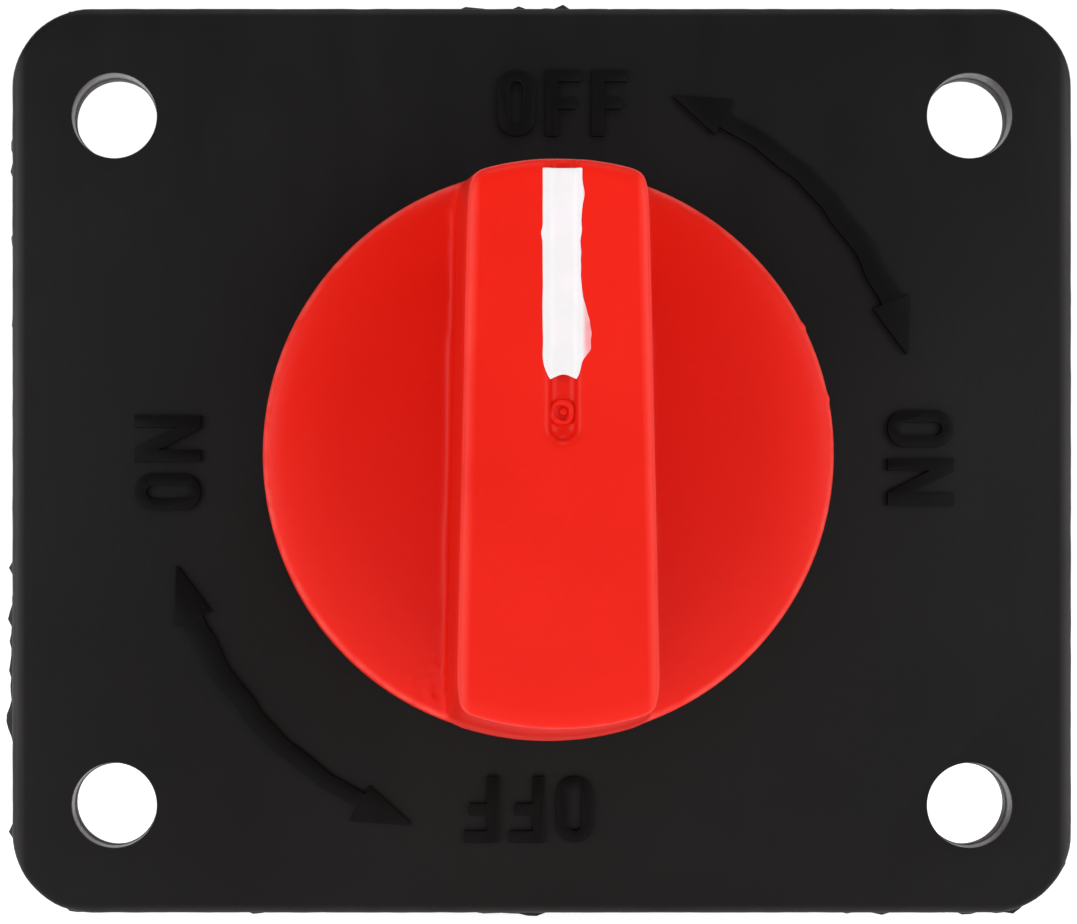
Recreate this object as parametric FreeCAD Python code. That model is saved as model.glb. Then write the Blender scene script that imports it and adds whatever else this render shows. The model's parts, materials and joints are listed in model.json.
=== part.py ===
import FreeCAD, Part
import math
import os

# Battery switch for a boat's panel: a rotary on-off isolator with two M10 terminal studs.
# Millimetres. +Z is up (OFF), the front faces -Y, and the knob turns about the Y axis.
# The origin is the centre of the mounting holes, on the face that sits against the panel.

Vec = FreeCAD.Vector
CENTRE = Vec(0, 0, 0)
ALONG_X = Vec(1, 0, 0)
ALONG_Y = Vec(0, 1, 0)
ALONG_Z = Vec(0, 0, 1)

# face plate
plate_width = 80.0
plate_height = 68.3
plate_thickness = 4.0
plate_corner_r = 6.0
plate_edge_r = 0.6
mount_spacing_x = 64.5
mount_spacing_z = 52.0
mount_hole_r = 3.25
plate_front = -plate_thickness

# raised lettering and arrows on the plate
legend_raise = 0.45
letter_height = 5.0
letter_stroke = 0.75
letter_width_o = 2.8
letter_width_f = 2.6
letter_width_n = 3.5
letter_gap = 0.85
arrow_inner_r = 28.1
arrow_outer_r = 30.0
arrow_head_half = 1.7
arrow_start_deg = 20.0
arrow_end_deg = 74.0
arrow_head_deg = 8.4

# knob
knob_gap = 1.2
knob_base_r = 20.9
knob_rim_r = 20.5
knob_rim_height = 12.4
knob_top_r = 19.0
knob_top_height = 27.5
grip_width_pointer = 11.0
grip_width_tail = 12.9
grip_draft_deg = 3.3
knob_wall = 2.0
knob_hub_r = 8.5
knob_rim_round = 0.8
knob_top_round = 0.6
knob_web_half = 0.8
grip_hollow_half = 3.2
grip_hollow_reach = 15.5
grip_hollow_roof = 3.0
groove_width = 2.1
groove_depth = 0.7
groove_end_z = 0.2
paint_end_z = 4.4
paint_tip_z = 18.4
knob_back = plate_front - knob_gap
rim_y = plate_front - knob_rim_height
top_y = plate_front - knob_top_height

# shaft and its bearing
shaft_r = 5.0
shaft_square = 7.0
shaft_front_y = -19.0
shaft_square_end_y = -7.0
shaft_end_y = 20.3
collar_r = 6.6
running_gap = 0.05
bush_r = 7.0
bush_flange_r = 8.5
bush_front_y = -1.4
bush_flange_y = 7.0
bush_flange_thick = 0.8
bush_boss_r = 9.6
seal_recess_r = 7.4
seal_y = -2.7
collar_thick = 1.15
loose_gap = 0.1
insert_r = 6.4
seal_section_r = 1.15
set_screw_y = -11.0
set_screw_r = 2.0
set_screw_length = 6.0
set_screw_socket_r = 1.1
set_screw_socket_depth = 2.4
driver_way_r = 2.5
driver_way_start = 10.0

# detent
ball_r = 1.75
ball_circle_r = 12.5
ball_travel = 0.45
ball_rest_gap = 0.1
ball_boss_r = 3.2
ball_boss_y = 8.0
disc_r = 16.0
disc_front_y = 8.4
disc_thick = 3.0
ball_spring_r = 1.3
ball_spring_wire = 0.22
ball_spring_front_y = -0.95

# moving contact
contact_travel = 3.0
cross_pin_r = 1.25
cross_pin_half = 9.0
cross_pin_y = 18.65
slot_half = 1.5
slot_inner_r = 4.6
slot_outer_r = 9.8
carrier_front_y = 12.9
carrier_rear_y = 22.6
carrier_sleeve_r = 9.2
carrier_half = 20.0
carrier_depth = 5.2
carrier_width = 15.0
tongue_reach = 24.8
tongue_width = 6.0
bridge_front_y = 23.5
bridge_thick = 3.0
bridge_half = 19.0
bridge_width = 13.0
tip_r = 4.0
tip_thick = 1.0
contact_spring_x = 10.0
spring_pocket_depth = 3.7
spring_pocket_r = 2.9
contact_spring_r = 2.3
contact_spring_wire = 0.3
bridge_corner_r = 3.0
bridge_hole_r = 1.6
bridge_screw_r = 1.5
bridge_screw_head_r = 3.0
bridge_screw_depth = 1.6
bridge_washer_r = 3.6
bridge_washer_thick = 0.55
tip_round = 0.35

# housing shell
shell_r = 30.0
shell_inner_r = 26.5
seal_thick = 1.0
shell_edge_r = 2.0
spigot_outer_r = 26.2
spigot_inner_r = 24.6
spigot_height = 5.0
rib_start_x = 21.0
rib_front_y = 12.0
rib_half = 6.3
wide_gap = 0.3
stud_pad_r = 10.6
stud_pad_height = 0.6
shell_floor_y = 33.0
shell_rear_y = 38.0
column_circle_r = 22.0
column_r = 4.6
boss_r = 3.8
boss_height = 10.0
case_screw_r = 2.0
case_screw_head_r = 3.6
case_screw_head_height = 2.8
case_screw_socket = 2.5
case_screw_sunk = 4.0
case_screw_gap = 0.2
barrier_half = 1.5
barrier_height = 8.0
barrier_half_length = 25.0

# terminals
stud_x = 13.0
stud_r = 5.0
stud_root_r = 4.7
stud_tip_chamfer = 0.8
stud_head_r = 7.0
stud_head_flat = 5.5
contact_face_y = 30.6
fixed_contact_thick = 0.8
stud_head_rear_y = 35.0
stud_end_y = 54.5
washer_thick = 2.0
washer_r = 10.0
spring_washer_thick = 2.2
spring_washer_r = 8.9
spring_washer_slit = 0.6
washer_gap = 0.25
nut_height = 8.0
nut_across_flats = 16.0
nut_chamfer_in = 0.2
nut_chamfer_slope = 1.7
thread_gap = 0.05


def rod(radius, y0, y1, x=0.0, z=0.0):
    """A cylinder along Y between two depths."""
    return Part.makeCylinder(radius, y1 - y0, Vec(x, y0, z), ALONG_Y)


def ring(outer, inner, y0, y1, x=0.0, z=0.0):
    return rod(outer, y0, y1, x, z).cut(rod(inner, y0, y1, x, z))


def cone(r0, y0, r1, y1):
    return Part.makeCone(r0, r1, y1 - y0, Vec(0, y0, 0), ALONG_Y)


def block(x0, x1, y0, y1, z0, z1):
    return Part.makeBox(x1 - x0, y1 - y0, z1 - z0, Vec(x0, y0, z0))


def bar(half_x, y0, y1, half_z, x=0.0, z=0.0):
    """A box centred on (x, z) between two depths."""
    return block(x - half_x, x + half_x, y0, y1, z - half_z, z + half_z)


def prism(points, y0, y1):
    """A flat outline, given as (x, z) points, extruded along Y."""
    corners = [Vec(x, y0, z) for x, z in points]
    face = Part.Face(Part.makePolygon(corners + corners[:1]))
    return face.extrude(Vec(0, y1 - y0, 0))


def hexagon(across_flats, y0, y1, x=0.0, z=0.0):
    reach = across_flats / math.sqrt(3.0)
    turns = [math.radians(60 * i) for i in range(6)]
    return prism([(x + reach * math.cos(t), z + reach * math.sin(t)) for t in turns], y0, y1)


def polar(radius, degrees):
    """An (x, z) point at an angle clockwise from +Z, seen from the front."""
    turn = math.radians(degrees)
    return radius * math.sin(turn), radius * math.cos(turn)


def turned(shape, degrees):
    """A copy turned clockwise about the knob's axis, seen from the front."""
    copy = shape.copy()
    copy.rotate(CENTRE, ALONG_Y, degrees)
    return copy


def moved(shape, x=0.0, y=0.0, z=0.0):
    copy = shape.copy()
    copy.translate(Vec(x, y, z))
    return copy


def corner_points(spacing_x, spacing_z):
    return [(sx * spacing_x / 2, sz * spacing_z / 2) for sx in (-1, 1) for sz in (-1, 1)]


def column_points():
    return [polar(column_circle_r, 45 + 90 * i) for i in range(4)]


def coil(mean_r, wire_r, y0, y1, turns, x=0.0):
    """A compression spring along Y, inside the given depths."""
    height = y1 - y0 - 2 * wire_r
    path = Part.makeHelix(height / turns, height, mean_r)
    section = Part.Wire(Part.makeCircle(wire_r, Vec(mean_r, 0, 0), ALONG_Y))
    spring = Part.Wire(path).makePipeShell([section], True, True)
    spring.rotate(CENTRE, ALONG_X, -90)
    return moved(spring, x, y0 + wire_r)


# lettering

def letter_o():
    half_w = letter_width_o / 2
    half_h = letter_height / 2

    def oval(inset):
        r = half_w - inset
        y0 = plate_front - legend_raise - inset
        end = half_h - half_w
        outline = bar(r, y0, plate_front + inset, end)
        for z in (-end, end):
            outline = outline.fuse(rod(r, y0, plate_front + inset, 0, z))
        return outline

    return oval(0).cut(oval(letter_stroke))


def letter_f():
    half_w = letter_width_f / 2
    half_h = letter_height / 2
    y0 = plate_front - legend_raise
    stem = block(-half_w, -half_w + letter_stroke, y0, plate_front, -half_h, half_h)
    top = block(-half_w, half_w, y0, plate_front, half_h - letter_stroke, half_h)
    middle = block(-half_w, half_w - 0.4, y0, plate_front, -letter_stroke / 2, letter_stroke / 2)
    return stem.fuse([top, middle])


def letter_n():
    half_w = letter_width_n / 2
    half_h = letter_height / 2
    y0 = plate_front - legend_raise
    left = block(-half_w, -half_w + letter_stroke, y0, plate_front, -half_h, half_h)
    slant = [(-half_w, half_h), (-half_w + letter_stroke * 1.1, half_h),
             (half_w, -half_h), (half_w - letter_stroke * 1.1, -half_h)]
    return left.fuse([moved(left, x=2 * half_w - letter_stroke), prism(slant, y0, plate_front)])


def word(letters, x, z, degrees):
    """Letters in a row centred on (x, z), turned clockwise."""
    widths = [width for shape, width in letters]
    place = -(sum(widths) + letter_gap * (len(widths) - 1)) / 2
    solids = []
    for shape, width in letters:
        solids.append(moved(turned(moved(shape, x=place + width / 2), degrees), x, 0, z))
        place += width + letter_gap
    return solids


def arrow():
    """A double-ended curved arrow between two angles."""
    middle_r = (arrow_inner_r + arrow_outer_r) / 2
    y0 = plate_front - legend_raise
    first = arrow_start_deg + arrow_head_deg
    last = arrow_end_deg - arrow_head_deg
    wedge = [(0, 0), polar(45, first), polar(45, (first + last) / 2), polar(45, last)]
    body = ring(arrow_outer_r, arrow_inner_r, y0, plate_front)
    body = body.common(prism(wedge, y0, plate_front))
    heads = []
    for base, tip in ((first, arrow_start_deg), (last, arrow_end_deg)):
        outline = [polar(middle_r - arrow_head_half, base), polar(middle_r + arrow_head_half, base),
                   polar(middle_r, tip)]
        heads.append(prism(outline, y0, plate_front))
    return body.fuse(heads)


def legends():
    o = (letter_o(), letter_width_o)
    f = (letter_f(), letter_width_f)
    n = (letter_n(), letter_width_n)
    raised = word([o, f, f], 1.5, 26.9, 0)
    raised += word([o, f, f], -1.0, -26.3, 180)
    raised += word([o, n], 28.5, 0.2, 90)
    raised += word([o, n], -28.2, -0.2, 270)
    return raised + [arrow(), turned(arrow(), 180)]


# face plate and housing

def face_plate():
    plate = bar(plate_width / 2, plate_front, 0, plate_height / 2)
    upright = [e for e in plate.Edges if abs(e.tangentAt(e.FirstParameter).y) > 0.9]
    plate = plate.makeFillet(plate_corner_r, upright)
    front = [e for e in plate.Edges if e.BoundBox.YMax < plate_front + 0.01]
    plate = plate.makeFillet(plate_edge_r, front)
    plate = plate.fuse(rod(bush_boss_r, -1, bush_flange_y))
    plate = plate.fuse(ring(spigot_outer_r, spigot_inner_r, -1, spigot_height))
    for x, z in column_points():
        plate = plate.fuse(rod(boss_r, -1, boss_height, x, z))
    for x in (-ball_circle_r, ball_circle_r):
        plate = plate.fuse(rod(ball_boss_r, -1, ball_boss_y, x))
    plate = plate.fuse(legends())
    for x, z in corner_points(mount_spacing_x, mount_spacing_z):
        plate = plate.cut(rod(mount_hole_r, plate_front - 1, 1, x, z))
    for x, z in column_points():
        plate = plate.cut(rod(case_screw_r + thread_gap, 0.5, boss_height + 1, x, z))
    for x in (-ball_circle_r, ball_circle_r):
        plate = plate.cut(rod(ball_r + loose_gap, -1.0, ball_boss_y + 1, x))
    plate = plate.cut(rod(bush_r, bush_front_y, bush_flange_y + 1))
    plate = plate.cut(rod(seal_recess_r, plate_front - 1, bush_front_y))
    return plate.removeSplitter()


def case_seal():
    return ring(shell_r - loose_gap, shell_inner_r + loose_gap, 0, seal_thick)


def stud_head(y0, y1, x, grow):
    """A round head with two flats, which stop it turning in the housing."""
    flats = bar(stud_head_r + 1, y0, y1, stud_head_flat + grow, x)
    return rod(stud_head_r + grow, y0, y1, x).common(flats)


def body_shell():
    shell = rod(shell_r, seal_thick, shell_rear_y)
    rear = [e for e in shell.Edges if e.BoundBox.YMin > shell_rear_y - 0.01]
    shell = shell.makeFillet(shell_edge_r, rear)
    shell = shell.cut(rod(shell_inner_r, seal_thick - 1, shell_floor_y))
    for x, z in column_points():
        shell = shell.fuse(rod(column_r, boss_height, shell_floor_y + 1, x, z))
    rib_outer_x = shell_inner_r + 0.5
    rib_side_z = tongue_width / 2 + wide_gap
    rib = block(rib_start_x, rib_outer_x, rib_front_y, shell_floor_y + 1, rib_side_z, rib_half)
    for upper in (rib, rib.mirror(CENTRE, ALONG_Z)):
        shell = shell.fuse([upper, upper.mirror(CENTRE, ALONG_X)])
    pad_y = shell_rear_y + stud_pad_height
    shell = shell.fuse([rod(stud_pad_r, shell_rear_y - 1, pad_y, x) for x in (-stud_x, stud_x)])
    screw_head_y = shell_rear_y - case_screw_sunk
    barrier = bar(barrier_half, shell_rear_y - 1, shell_rear_y + barrier_height, barrier_half_length)
    shell = shell.fuse(barrier)
    for x, z in column_points():
        shell = shell.cut(rod(case_screw_r + case_screw_gap, boss_height - 1, shell_rear_y + 1, x, z))
        head_hole = rod(case_screw_head_r + wide_gap, screw_head_y, shell_rear_y + 1, x, z)
        shell = shell.cut(head_hole)
    for x in (-stud_x, stud_x):
        shell = shell.cut(stud_head(shell_floor_y - 1, stud_head_rear_y, x, loose_gap))
        shell = shell.cut(rod(stud_root_r + loose_gap, shell_floor_y, shell_rear_y + 2, x))
    return shell.removeSplitter()


def case_screws():
    head_y = shell_rear_y - case_screw_sunk
    head_end = head_y + case_screw_head_height
    screws = []
    for x, z in column_points():
        shank = rod(case_screw_r, 1.5, head_y, x, z)
        head = rod(case_screw_head_r, head_y, head_end, x, z)
        socket = hexagon(case_screw_socket, head_y + 1.0, head_end + 1, x, z)
        screws.append(shank.fuse(head).cut(socket))
    return screws


# shaft, bearing and detent

def shaft_bush():
    barrel = rod(bush_r - 0.02, bush_front_y, bush_flange_y)
    flange = rod(bush_flange_r, bush_flange_y, bush_flange_y + bush_flange_thick)
    bore = rod(shaft_r + running_gap, bush_front_y - 1, bush_flange_y + 2)
    return barrel.fuse(flange).cut(bore).removeSplitter()


def shaft_seal():
    middle = shaft_r + running_gap + seal_section_r
    return Part.makeTorus(middle, seal_section_r, Vec(0, seal_y, 0), ALONG_Y)


def thrust_washer():
    front = bush_flange_y + bush_flange_thick
    return ring(bush_flange_r, shaft_r + loose_gap, front + running_gap, disc_front_y - running_gap)


def square_hole(half, y0, y1):
    return bar(half, y0, y1, half)


def drive_shaft():
    square = bar(shaft_square / 2, shaft_front_y, shaft_square_end_y, shaft_square / 2)
    square = square.common(rod(shaft_r - 0.3, shaft_front_y, shaft_square_end_y))
    round_part = rod(shaft_r, shaft_square_end_y, shaft_end_y)
    disc_rear = disc_front_y + disc_thick
    collar_y = disc_rear + running_gap
    collar = rod(collar_r, collar_y, collar_y + collar_thick)
    shaft = round_part.fuse([square, collar]).removeSplitter()
    rear = [e for e in shaft.Edges if e.BoundBox.YMin > shaft_end_y - 0.01]
    shaft = shaft.makeChamfer(0.5, rear)
    hole_r = cross_pin_r + 0.01
    hole = Part.makeCylinder(hole_r, 20, Vec(0, cross_pin_y, -10), ALONG_Z)
    return shaft.cut(hole)


def cross_pin():
    length = 2 * cross_pin_half
    pin = Part.makeCylinder(cross_pin_r, length, Vec(0, cross_pin_y, -cross_pin_half), ALONG_Z)
    return pin.makeChamfer(0.2, [e for e in pin.Edges if len(e.Vertexes) == 1])


def detent_disc():
    disc = ring(disc_r, shaft_r, disc_front_y, disc_front_y + disc_thick)
    seat_y = disc_front_y - ball_rest_gap - ball_r + ball_travel
    for i in range(4):
        x, z = polar(ball_circle_r, 90 * i)
        disc = disc.cut(Part.makeSphere(ball_r + 0.15, Vec(x, seat_y, z)))
    return disc


def ball_places():
    return [(sign * ball_circle_r, disc_front_y - ball_rest_gap - ball_r) for sign in (-1, 1)]


def detent_balls():
    return [Part.makeSphere(ball_r, Vec(x, y, 0)) for x, y in ball_places()]


def detent_springs():
    springs = []
    for x, y in ball_places():
        end = y - ball_r - running_gap
        springs.append(coil(ball_spring_r, ball_spring_wire, ball_spring_front_y, end, 6, x))
    return springs


# knob

def grip_half_width(z):
    """Half the grip's width on its top face: the pointer end is the narrower."""
    mean = (grip_width_pointer + grip_width_tail) / 4
    slope = (grip_width_pointer - grip_width_tail) / (4 * knob_top_r)
    return mean + slope * z


def grip():
    """The bar across the knob, with drafted sides and ends that follow the knob's cone."""
    base_y = rim_y + 1.0
    spread = (base_y - top_y) * math.tan(math.radians(grip_draft_deg))
    reach = knob_rim_r + 2
    outlines = []
    for y, grow in ((top_y, 0.0), (base_y, spread)):
        upper = grip_half_width(reach) + grow
        lower = grip_half_width(-reach) + grow
        corners = [Vec(-upper, y, reach), Vec(upper, y, reach)]
        corners += [Vec(lower, y, -reach), Vec(-lower, y, -reach)]
        outlines.append(Part.makePolygon(corners + corners[:1]))
    slab = Part.makeLoft(outlines, True, True)
    return slab.common(cone(knob_top_r, top_y, knob_rim_r + 0.1, base_y))


def knob():
    skirt = cone(knob_rim_r, rim_y, knob_base_r, knob_back)
    rim = [e for e in skirt.Edges if e.BoundBox.YMax < rim_y + 0.01]
    solid = skirt.makeFillet(knob_rim_round, rim).fuse(grip()).removeSplitter()
    edges = [e for e in solid.Edges if e.BoundBox.YMax < top_y + 0.01]
    solid = solid.makeFillet(knob_top_round, edges)
    hollow = rod(knob_rim_r - knob_wall, rim_y + knob_wall, knob_back + 1)
    roof_y = top_y + grip_hollow_roof
    hollow = hollow.fuse(bar(grip_hollow_half, roof_y, rim_y + knob_wall + 1, grip_hollow_reach))
    hollow = hollow.cut(rod(knob_hub_r, top_y, knob_back + 1))
    for degrees in (45, 135):
        web = bar(knob_web_half, rim_y, knob_back - 1.5, knob_rim_r - 1)
        hollow = hollow.cut(turned(web, degrees))
    solid = solid.cut(hollow)
    solid = solid.cut(rod(insert_r, shaft_front_y - 1.5, knob_back + 1))
    half_groove = groove_width / 2
    groove_y = top_y + groove_depth
    round_z = groove_end_z + half_groove
    groove = block(-half_groove, half_groove, top_y - 1, groove_y, round_z, knob_rim_r + 1)
    groove = groove.fuse(rod(half_groove, top_y - 1, groove_y, 0, round_z))
    solid = solid.cut(groove)
    start = Vec(0, set_screw_y, -driver_way_start)
    driver_way = Part.makeCylinder(driver_way_r, 14, start, -ALONG_Z)
    return solid.cut(driver_way).cut(set_screw_hole()).removeSplitter()


def set_screw_hole():
    return Part.makeCylinder(set_screw_r + thread_gap, 14, Vec(0, set_screw_y, 0), -ALONG_Z)


def pointer_fill():
    front = top_y + 0.02
    half = groove_width / 2
    return block(-half, half, front, top_y + groove_depth, paint_end_z, paint_tip_z)


def knob_insert():
    sleeve = rod(insert_r - 0.02, shaft_front_y - 1.0, knob_back - 1)
    square = square_hole(shaft_square / 2 + 0.03, shaft_front_y - 0.1, shaft_square_end_y + 0.1)
    sleeve = sleeve.cut(square)
    sleeve = sleeve.cut(rod(shaft_r + 0.03, shaft_square_end_y - 0.1, knob_back))
    return sleeve.cut(set_screw_hole())


def knob_set_screw():
    tip = -shaft_square / 2 - 0.02
    outer_z = tip - set_screw_length
    screw = Part.makeCylinder(set_screw_r, set_screw_length, Vec(0, set_screw_y, outer_z), ALONG_Z)
    start = Vec(0, set_screw_y, outer_z)
    socket = Part.makeCylinder(set_screw_socket_r, set_screw_socket_depth, start, ALONG_Z)
    return screw.cut(socket)


# moving contact

def slot_cutter():
    """A quarter-turn helical slot for one end of the cross pin, with round ends."""
    path = Part.makeHelix(4 * contact_travel, contact_travel, (slot_inner_r + slot_outer_r) / 2)
    corners = [Vec(slot_inner_r, 0, -slot_half), Vec(slot_outer_r, 0, -slot_half)]
    corners += [Vec(slot_outer_r, 0, slot_half), Vec(slot_inner_r, 0, slot_half)]
    section = Part.makePolygon(corners + corners[:1])
    cutter = Part.Wire(path).makePipeShell([section], True, True)
    cutter = cutter.mirror(CENTRE, ALONG_Y)
    cutter.rotate(CENTRE, ALONG_X, -90)
    cutter.translate(Vec(0, cross_pin_y - contact_travel, 0))
    off_end = Part.makeCylinder(slot_half, 6, Vec(0, cross_pin_y, 4), ALONG_Z)
    on_end = Part.makeCylinder(slot_half, 6, Vec(4, cross_pin_y - contact_travel, 0), ALONG_X)
    return [cutter, off_end, on_end]


def contact_carrier():
    arm_front = carrier_rear_y - carrier_depth
    carrier = rod(carrier_sleeve_r, carrier_front_y, carrier_rear_y)
    carrier = carrier.fuse(bar(carrier_half, arm_front, carrier_rear_y, carrier_width / 2))
    carrier = carrier.fuse(bar(tongue_reach, arm_front, carrier_rear_y, tongue_width / 2))
    carrier = carrier.cut(rod(shaft_r + 0.3, carrier_front_y - 1, shaft_end_y + 0.3))
    for cutter in slot_cutter():
        carrier = carrier.cut([cutter, turned(cutter, 180)])
    for x in (-contact_spring_x, contact_spring_x):
        pocket_y = carrier_rear_y - spring_pocket_depth
        pocket = rod(spring_pocket_r, pocket_y, carrier_rear_y + 1, x)
        carrier = carrier.cut(pocket)
    hole_y = carrier_rear_y - bridge_screw_depth - 0.2
    screw_hole = rod(bridge_screw_r + thread_gap, hole_y, carrier_rear_y + 1)
    return carrier.cut(screw_hole).removeSplitter()


def contact_bridge():
    plate = bar(bridge_half, bridge_front_y, bridge_front_y + bridge_thick, bridge_width / 2)
    corners = [e for e in plate.Edges if abs(e.tangentAt(e.FirstParameter).y) > 0.9]
    screw_hole = rod(bridge_hole_r, bridge_front_y - 1, bridge_front_y + bridge_thick + 1)
    return plate.makeFillet(bridge_corner_r, corners).cut(screw_hole)


def bridge_tips():
    rear = bridge_front_y + bridge_thick
    tips = [rod(tip_r, rear, rear + tip_thick, x) for x in (-stud_x, stud_x)]
    return [t.makeFillet(tip_round, [e for e in t.Edges if e.BoundBox.YMin > rear + 0.5]) for t in tips]


def contact_springs():
    front = carrier_rear_y - spring_pocket_depth + running_gap
    end = bridge_front_y - running_gap
    places = (-contact_spring_x, contact_spring_x)
    return [coil(contact_spring_r, contact_spring_wire, front, end, 3, x) for x in places]


def bridge_screw():
    rear = bridge_front_y + bridge_thick
    shank = rod(bridge_screw_r, carrier_rear_y - bridge_screw_depth, rear + 0.6)
    head = rod(bridge_screw_head_r, rear + 0.6, rear + 2.2)
    slot = bar(0.4, rear + 1.5, rear + 3, 4)
    return shank.fuse(head).cut(slot)


def bridge_washer():
    rear = bridge_front_y + bridge_thick
    return ring(bridge_washer_r, bridge_hole_r, rear, rear + bridge_washer_thick)


# terminals

def stack_depths():
    """Where the washer, spring washer and nut start, and where the nut ends."""
    washer_y = shell_rear_y + stud_pad_height
    spring_y = washer_y + washer_thick
    nut_y = spring_y + spring_washer_thick
    return washer_y, spring_y, nut_y, nut_y + nut_height


def stud(x):
    """A terminal stud. Under the nut its thread is drawn near the pitch radius."""
    nut_end = stack_depths()[3]
    head = stud_head(contact_face_y + fixed_contact_thick, stud_head_rear_y - 0.02, x, 0)
    root = rod(stud_root_r, stud_head_rear_y - 0.5, nut_end + 1, x)
    free_end = rod(stud_r, nut_end + thread_gap, stud_end_y, x)
    tip = [e for e in free_end.Edges if e.BoundBox.YMin > stud_end_y - 0.01]
    free_end = free_end.makeChamfer(stud_tip_chamfer, tip)
    return head.fuse([root, free_end]).removeSplitter()


def fixed_contacts():
    rear = contact_face_y + fixed_contact_thick
    return [rod(tip_r + 0.8, contact_face_y, rear, x) for x in (-stud_x, stud_x)]


def terminal_washers():
    start, end = stack_depths()[:2]
    return [ring(washer_r, stud_r + washer_gap, start, end, x) for x in (-stud_x, stud_x)]


def terminal_spring_washers():
    start, end = stack_depths()[1:3]
    washers = []
    for x in (-stud_x, stud_x):
        washer = ring(spring_washer_r, stud_r + washer_gap, start, end, x)
        slit = bar(spring_washer_slit, start - 1, end + 1, 5, x, 8)
        washers.append(washer.cut(slit))
    return washers


def terminal_nuts():
    start, end = stack_depths()[2:4]
    chamfer_r = nut_across_flats / 2 - nut_chamfer_in
    wide_r = chamfer_r + nut_height * nut_chamfer_slope
    nuts = []
    for x in (-stud_x, stud_x):
        nut = hexagon(nut_across_flats, start, end, x)
        rear_chamfer = moved(cone(wide_r, start, chamfer_r, end), x)
        front_chamfer = moved(cone(chamfer_r, start, wide_r, end), x)
        nut = nut.common(rear_chamfer).common(front_chamfer)
        nuts.append(nut.cut(rod(stud_root_r + thread_gap, start - 1, end + 1, x)))
    return nuts


parts = {
    "face_plate": face_plate,
    "case_seal": case_seal,
    "body_shell": body_shell,
    "case_screws": case_screws,
    "shaft_bush": shaft_bush,
    "shaft_seal": shaft_seal,
    "thrust_washer": thrust_washer,
    "drive_shaft": drive_shaft,
    "cross_pin": cross_pin,
    "detent_disc": detent_disc,
    "detent_balls": detent_balls,
    "detent_springs": detent_springs,
    "knob": knob,
    "pointer_fill": pointer_fill,
    "knob_insert": knob_insert,
    "knob_set_screw": knob_set_screw,
    "contact_carrier": contact_carrier,
    "contact_bridge": contact_bridge,
    "bridge_tips": bridge_tips,
    "contact_springs": contact_springs,
    "bridge_screw": bridge_screw,
    "bridge_washer": bridge_washer,
    "line_stud": lambda: stud(-stud_x),
    "load_stud": lambda: stud(stud_x),
    "fixed_contacts": fixed_contacts,
    "terminal_washers": terminal_washers,
    "terminal_spring_washers": terminal_spring_washers,
    "terminal_nuts": terminal_nuts,
}

os.makedirs("parts", exist_ok=True)
for node, make in parts.items():
    made = make()
    shape = Part.makeCompound(made) if isinstance(made, list) else made
    shape.exportStep("parts/" + node + ".step")
    print(node, "solids", len(shape.Solids), "valid", shape.isValid(), "volume", round(shape.Volume, 1))
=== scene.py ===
import json
import math
import bpy
from mathutils import Matrix, Vector, noise


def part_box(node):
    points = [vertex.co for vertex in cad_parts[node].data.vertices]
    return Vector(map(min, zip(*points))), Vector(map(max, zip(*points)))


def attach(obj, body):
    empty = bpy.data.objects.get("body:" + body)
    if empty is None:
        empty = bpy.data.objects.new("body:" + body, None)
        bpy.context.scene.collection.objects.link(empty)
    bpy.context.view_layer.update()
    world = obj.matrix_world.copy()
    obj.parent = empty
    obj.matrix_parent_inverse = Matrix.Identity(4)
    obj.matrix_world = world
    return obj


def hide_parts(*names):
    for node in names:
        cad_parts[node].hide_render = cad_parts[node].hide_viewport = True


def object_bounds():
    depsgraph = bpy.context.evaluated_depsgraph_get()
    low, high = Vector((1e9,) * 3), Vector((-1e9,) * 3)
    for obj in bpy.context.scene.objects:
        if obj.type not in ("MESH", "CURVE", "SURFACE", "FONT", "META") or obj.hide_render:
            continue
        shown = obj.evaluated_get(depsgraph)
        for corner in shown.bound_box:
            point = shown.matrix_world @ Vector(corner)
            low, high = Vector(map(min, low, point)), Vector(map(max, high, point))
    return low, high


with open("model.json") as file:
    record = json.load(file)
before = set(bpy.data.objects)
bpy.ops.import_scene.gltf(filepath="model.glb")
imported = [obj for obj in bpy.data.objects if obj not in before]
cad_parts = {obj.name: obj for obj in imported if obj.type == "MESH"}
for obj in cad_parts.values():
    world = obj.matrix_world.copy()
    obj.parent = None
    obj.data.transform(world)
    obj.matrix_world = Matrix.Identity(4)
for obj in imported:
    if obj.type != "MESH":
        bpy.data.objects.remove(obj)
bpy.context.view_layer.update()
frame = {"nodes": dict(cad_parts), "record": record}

mm = 0.001
print("stage: frame loaded")


# ---------- modelling helpers: lengths are in millimetres, places in the row frame

def onlyActive(piece):
    bpy.ops.object.select_all(action="DESELECT")
    piece.select_set(True)
    bpy.context.view_layer.objects.active = piece


def toEdit(piece, kind="FACE"):
    onlyActive(piece)
    bpy.context.tool_settings.mesh_select_mode = (kind == "VERT", kind == "EDGE", kind == "FACE")
    bpy.ops.object.mode_set(mode="EDIT")


def toObject():
    bpy.ops.object.mode_set(mode="OBJECT")


def pickFaces(piece, test):
    # test gets a face's centre in millimetres and its normal
    mesh = piece.data
    for group in (mesh.vertices, mesh.edges, mesh.polygons):
        group.foreach_set("select", [False] * len(group))
    for face in mesh.polygons:
        face.select = bool(test(face.center / mm, face.normal))
    toEdit(piece, "FACE")


def pickEdges(piece, test):
    # test gets the two ends of an edge in millimetres
    mesh = piece.data
    for group in (mesh.vertices, mesh.edges, mesh.polygons):
        group.foreach_set("select", [False] * len(group))
    for edge in mesh.edges:
        ends = [mesh.vertices[i].co / mm for i in edge.vertices]
        edge.select = bool(test(*ends))
    toEdit(piece, "EDGE")


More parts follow.
